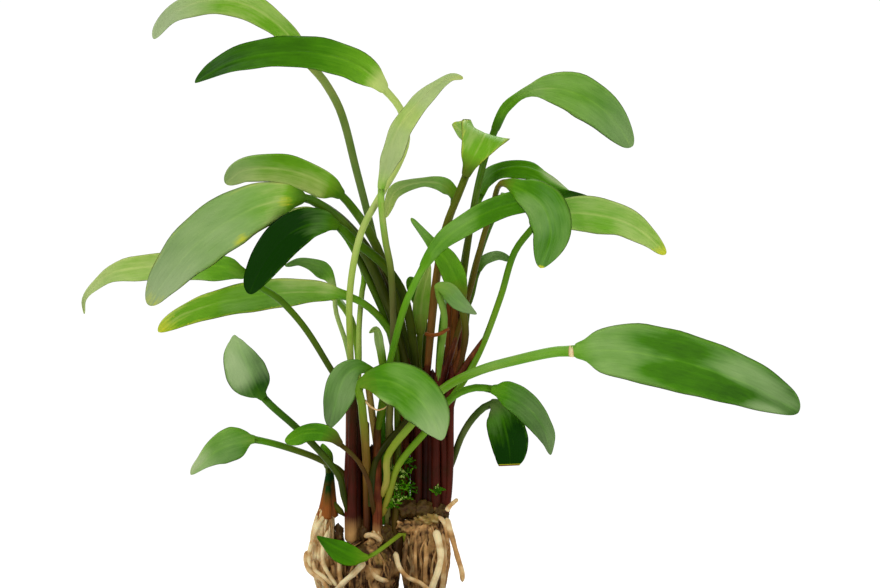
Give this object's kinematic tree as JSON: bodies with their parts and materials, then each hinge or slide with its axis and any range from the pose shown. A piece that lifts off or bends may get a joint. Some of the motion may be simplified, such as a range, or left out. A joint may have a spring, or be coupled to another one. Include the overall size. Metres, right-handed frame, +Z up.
{
  "type": "potted cryptocoryne water plant",
  "caption": "Bushy water plant with long-stalked lance-shaped leaves, reddish shoot bases and pale matted roots, in a small plain tapering pot.",
  "frame": {"origin": "centre of the pot's flat underside, on the surface that it stands on", "axes": "+Z up the plant, +X to the right as seen from the plant's front, which faces -Y"},
  "size_m": [0.2271, 0.1102, 0.2462],
  "materials": {
    "leaf_light": "waxy, fresh green leaf",
    "leaf_mid": "waxy, mid green leaf",
    "leaf_dark": "waxy, dark green leaf",
    "sheath": "smooth reddish-brown leaf sheaths",
    "root": "matt pale tan roots",
    "pot": "plain dark plastic",
    "medium": "damp matted fibres"
  },
  "bodies": {
    "root": {"pot": "pot", "growing_medium": "medium", "crown_left": "root", "crown_centre": "root", "crown_right": "root", "root_front_left": "root", "root_front_right": "root", "root_right_pale": "root", "root_right_loose": "root", "root_stub": "root", "root_left_outer": "root", "shoot_left": "sheath", "shoot_centre": "sheath", "shoot_right": "sheath", "shoot_far_right": "sheath", "leaf_top_left": "leaf_light", "leaf_top_arching": "leaf_mid", "leaf_top_folded": "leaf_light", "leaf_upper_left": "leaf_light", "leaf_left_broad": "leaf_mid", "leaf_left_dark": "leaf_dark", "leaf_far_left": "leaf_mid", "leaf_left_yellow_edged": "leaf_mid", "leaf_left_small": "leaf_mid", "leaf_left_inner": "leaf_light", "leaf_middle_arch": "leaf_light", "leaf_bent_back": "leaf_light", "leaf_top_right": "leaf_mid", "leaf_right_underside": "leaf_dark", "leaf_right_long": "leaf_mid", "leaf_right_hanging": "leaf_light", "leaf_right_outer": "leaf_light", "leaf_far_right": "leaf_mid", "leaf_lower_right": "leaf_mid", "leaf_torn": "leaf_dark", "leaf_front_centre": "leaf_light", "leaf_front_drooping": "leaf_dark", "leaf_lower_left_upright": "leaf_mid", "leaf_lower_left": "leaf_mid", "leaf_lower_left_small": "leaf_light", "leaf_at_roots": "leaf_dark", "leaf_middle_narrow": "leaf_light", "leaf_middle_drooping": "leaf_light", "leaf_middle_upright": "leaf_light", "leaf_middle_hidden": "leaf_light", "leaf_small_arch": "leaf_dark", "leaf_thin_young": "leaf_light", "leaf_plantlet": "leaf_light", "leaf_back_middle": "leaf_mid", "leaf_back_left": "leaf_mid", "leaf_back_low": "leaf_dark", "leaf_back_right": "leaf_mid", "leaf_back_upper_left": "leaf_mid"}
  },
  "joints": []
}
